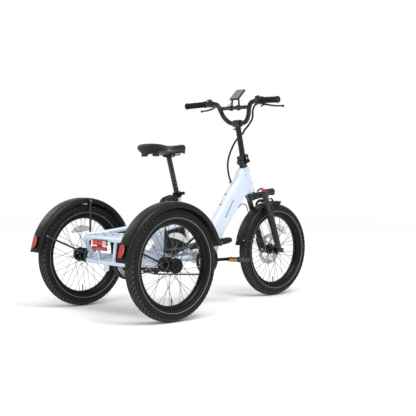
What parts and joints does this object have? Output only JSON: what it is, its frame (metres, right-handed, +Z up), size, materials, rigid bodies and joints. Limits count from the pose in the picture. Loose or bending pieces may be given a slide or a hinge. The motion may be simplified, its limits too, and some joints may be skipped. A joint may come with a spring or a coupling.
{
  "type": "adult tricycle",
  "caption": "Low step-through adult tricycle with one fork-mounted front wheel, two rear wheels, chain drive, assist motor and seat-tube battery.",
  "frame": {"origin": "on the ground under the middle of the overall length and width", "axes": "+Z up; the front wheel is towards -Y, the rider's left is +X"},
  "size_m": [0.799, 1.6716, 1.173],
  "materials": {
    "tyre_rubber": "moulded tread with a light reflective stripe",
    "rim_alloy": "black anodised",
    "hub_alloy": "black hub with stainless spokes",
    "rotor_steel": "ground stainless steel",
    "frame_paint": "pale blue gloss paint",
    "black_paint": "satin black paint",
    "forged_lever": "dark anodised",
    "motor_case": "cast, painted black",
    "chain_steel": "oiled roller chain and sprocket",
    "black_plastic": "moulded, fine texture",
    "fender_plastic": "satin black moulding",
    "red_lens": "clear red lens",
    "red_knob": "red anodised look",
    "battery_case": "fine textured case",
    "saddle_cover": "soft black synthetic leather",
    "grip_rubber": "ribbed rubber",
    "lamp_case": "black lamp barrel",
    "display_case": "black case with a grey screen",
    "cable_jacket": "black jacket"
  },
  "bodies": {
    "frame": {"main_frame": "frame_paint", "rear_frame": "frame_paint", "drive_motor": "motor_case", "chain": "chain_steel", "derailleur": "black_plastic", "chain_guard": "black_plastic", "seat_clamp": "black_paint", "rear_caliper": "black_plastic", "lower_cable": "cable_jacket", "tail_light": "red_lens", "rear_fender_left": "fender_plastic", "rear_fender_right": "fender_plastic", "fender_stays_left": "fender_plastic", "fender_stays_right": "fender_plastic", "fender_top_stay_left": "fender_plastic", "fender_top_stay_right": "fender_plastic", "rear_reflector_left": "red_lens", "rear_reflector_right": "red_lens"},
    "steering": {"fork_crown": "black_paint", "stem_base": "black_paint", "headlight": "lamp_case", "brake_hose": "cable_jacket"},
    "lockout": {"lockout_knob": "red_knob"},
    "fork_slider": {"fork_lowers": "black_paint", "front_fender": "fender_plastic", "front_caliper": "black_plastic"},
    "front_wheel": {"front_tyre": "tyre_rubber", "front_rim": "rim_alloy", "front_hub": "hub_alloy", "front_rotor": "rotor_steel"},
    "stem": {"stem_post": "black_paint", "handlebar": "black_paint", "upper_cable": "cable_jacket", "grip_left": "grip_rubber", "grip_right": "grip_rubber", "control_left": "black_plastic", "control_right": "black_plastic"},
    "latch": {"stem_latch": "forged_lever"},
    "display_unit": {"display": "display_case"},
    "lever_left": {"brake_lever_left": "forged_lever"},
    "lever_right": {"brake_lever_right": "forged_lever"},
    "shifter": {"shift_lever": "black_plastic"},
    "thumb_throttle": {"throttle": "black_plastic"},
    "buttons": {"button_pad": "black_plastic"},
    "rear_wheel_left": {"rear_tyre_left": "tyre_rubber", "rear_rim_left": "rim_alloy", "rear_hub_left": "hub_alloy"},
    "rear_wheel_right": {"rear_tyre_right": "tyre_rubber", "rear_rim_right": "rim_alloy", "rear_hub_right": "hub_alloy", "rear_rotor": "rotor_steel"},
    "crank": {"crankset": "black_paint"},
    "pedal_left_body": {"pedal_left": "black_plastic"},
    "pedal_right_body": {"pedal_right": "black_plastic"},
    "sprocket": {"rear_sprocket": "chain_steel"},
    "jockey": {"jockey_wheel": "black_plastic"},
    "seat": {"seatpost": "black_paint", "saddle": "saddle_cover"},
    "quick_release": {"seat_lever": "forged_lever"},
    "battery_pack": {"battery": "battery_case"}
  },
  "joints": [
    {"name": "steer_turn", "type": "hinge", "parent": "frame", "child": "steering", "pos_m": [0, -0.36778, 0.6025], "axis": [0, 0.3746, 0.9272], "range_deg": [-38, 38], "deforming": ["upper_cable", "lower_cable", "brake_hose"]},
    {"name": "lockout_turn", "type": "hinge", "parent": "steering", "child": "lockout", "pos_m": [-0.066, -0.41048, 0.6089], "axis": [0, 0.3746, 0.9272], "range_deg": [0, 90]},
    {"name": "fork_compress", "type": "slide", "parent": "steering", "child": "fork_slider", "axis": [0, 0.3746, 0.9272], "range_m": [0, 0.03], "stiffness_N_per_m": 8000, "springref_m": -0.08, "deforming": ["brake_hose"]},
    {"name": "front_wheel_spin", "type": "hinge", "parent": "fork_slider", "child": "front_wheel", "pos_m": [0, -0.56978, 0.266], "axis": [1, 0, 0], "continuous": true},
    {"name": "stem_fold", "type": "hinge", "parent": "steering", "child": "stem", "pos_m": [0.025, -0.29542, 0.7816], "axis": [0, 0.9272, -0.3746], "range_deg": [0, 90], "deforming": ["upper_cable"]},
    {"name": "latch_open", "type": "hinge", "parent": "steering", "child": "latch", "pos_m": [-0.03, -0.30335, 0.76198], "axis": [0, -0.9272, 0.3746], "range_deg": [0, 100]},
    {"name": "display_tilt", "type": "hinge", "parent": "stem", "child": "display_unit", "pos_m": [0, -0.23678, 1.068], "axis": [1, 0, 0], "range_deg": [-20, 20]},
    {"name": "brake_left_pull", "type": "hinge", "parent": "stem", "child": "lever_left", "pos_m": [0.176, -0.25878, 1.086], "axis": [0, 0, 1], "range_deg": [0, 12], "stiffness_Nm_per_rad": 0.5, "springref_deg": -17.19},
    {"name": "brake_right_pull", "type": "hinge", "parent": "stem", "child": "lever_right", "pos_m": [-0.176, -0.25878, 1.086], "axis": [0, 0, -1], "range_deg": [0, 12], "stiffness_Nm_per_rad": 0.5, "springref_deg": -17.19},
    {"name": "shift_push", "type": "hinge", "parent": "stem", "child": "shifter", "pos_m": [-0.206, -0.24878, 1.078], "axis": [0, 0, -1], "range_deg": [0, 15], "stiffness_Nm_per_rad": 0.1, "springref_deg": -11.46},
    {"name": "throttle_push", "type": "hinge", "parent": "stem", "child": "thumb_throttle", "pos_m": [-0.205, -0.19678, 1.092], "axis": [-1, 0, 0], "range_deg": [0, 25], "stiffness_Nm_per_rad": 0.1, "springref_deg": -11.46},
    {"name": "button_press", "type": "slide", "parent": "stem", "child": "buttons", "axis": [0, -1, 0], "range_m": [0, 0.001], "stiffness_N_per_m": 300, "springref_m": -0.002},
    {"name": "rear_left_spin", "type": "hinge", "parent": "frame", "child": "rear_wheel_left", "pos_m": [0.3545, 0.52722, 0.266], "axis": [1, 0, 0], "continuous": true},
    {"name": "rear_right_spin", "type": "hinge", "parent": "frame", "child": "rear_wheel_right", "pos_m": [-0.3545, 0.52722, 0.266], "axis": [1, 0, 0], "continuous": true},
    {"name": "crank_turn", "type": "hinge", "parent": "frame", "child": "crank", "pos_m": [0, 0.02722, 0.24], "axis": [1, 0, 0], "continuous": true},
    {"name": "pedal_left_spin", "type": "hinge", "parent": "crank", "child": "pedal_left_body", "pos_m": [0.143, 0.19322, 0.24], "axis": [1, 0, 0], "continuous": true},
    {"name": "pedal_right_spin", "type": "hinge", "parent": "crank", "child": "pedal_right_body", "pos_m": [-0.143, -0.13878, 0.24], "axis": [1, 0, 0], "continuous": true},
    {"name": "sprocket_spin", "type": "hinge", "parent": "frame", "child": "sprocket", "pos_m": [-0.066, 0.52722, 0.266], "axis": [1, 0, 0], "continuous": true},
    {"name": "jockey_spin", "type": "hinge", "parent": "frame", "child": "jockey", "pos_m": [-0.066, 0.37722, 0.212], "axis": [1, 0, 0], "continuous": true},
    {"name": "seat_height", "type": "slide", "parent": "frame", "child": "seat", "axis": [0, 0.2924, 0.9563], "range_m": [-0.1, 0.04]},
    {"name": "seat_lever_open", "type": "hinge", "parent": "frame", "child": "quick_release", "pos_m": [-0.02, 0.15824, 0.59562], "axis": [0, 0.2924, 0.9563], "range_deg": [0, 110]},
    {"name": "battery_lift", "type": "slide", "parent": "frame", "child": "battery_pack", "axis": [0, 0.2924, 0.9563], "range_m": [0, 0.07]}
  ],
  "couplings": [
    {"joint": "sprocket_spin", "follows": "crank_turn", "ratio": 2.0263},
    {"joint": "jockey_spin", "follows": "crank_turn", "ratio": 3.5}
  ]
}
